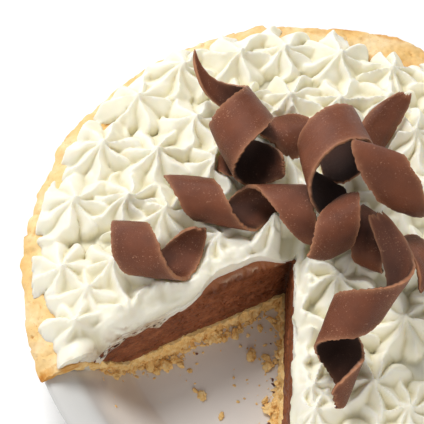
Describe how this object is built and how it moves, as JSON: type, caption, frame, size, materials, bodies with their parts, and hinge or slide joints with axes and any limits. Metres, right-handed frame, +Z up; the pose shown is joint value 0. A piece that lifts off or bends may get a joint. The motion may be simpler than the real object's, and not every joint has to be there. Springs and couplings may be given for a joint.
{
  "type": "french silk pie",
  "caption": "Round cream pie in a white dish with one slice out: baked crust, chocolate filling, piped cream stars and loose chocolate curls on top.",
  "frame": {"origin": "middle of the dish's flat underside, on the surface it stands on", "axes": "+Z up along the dish's turning axis; the missing slice opens towards -Y and -X, and the picture's camera looks along +Y from above"},
  "size_m": [0.2417, 0.2402, 0.1061],
  "materials": {
    "white_ceramic": "smooth white glaze",
    "golden_crust": "baked shortcrust, dry and slightly grainy",
    "chocolate_filling": "dense set chocolate cream, satin where cut",
    "whipped_cream": "soft whipped cream, satin",
    "chocolate_curl": "shaved milk chocolate, satin with scuffed edges"
  },
  "bodies": {
    "root": {"dish": "white_ceramic", "crust": "golden_crust", "chocolate_filling": "chocolate_filling", "whipped_cream": "whipped_cream", "curl_tall": "chocolate_curl", "curl_tip": "chocolate_curl", "curl_back": "chocolate_curl", "curl_middle": "chocolate_curl", "curl_leaf": "chocolate_curl", "curl_right": "chocolate_curl", "curl_left": "chocolate_curl", "curl_front_left": "chocolate_curl", "curl_front": "chocolate_curl", "curl_low": "chocolate_curl", "curl_scroll": "chocolate_curl", "curl_edge": "chocolate_curl"}
  },
  "joints": []
}
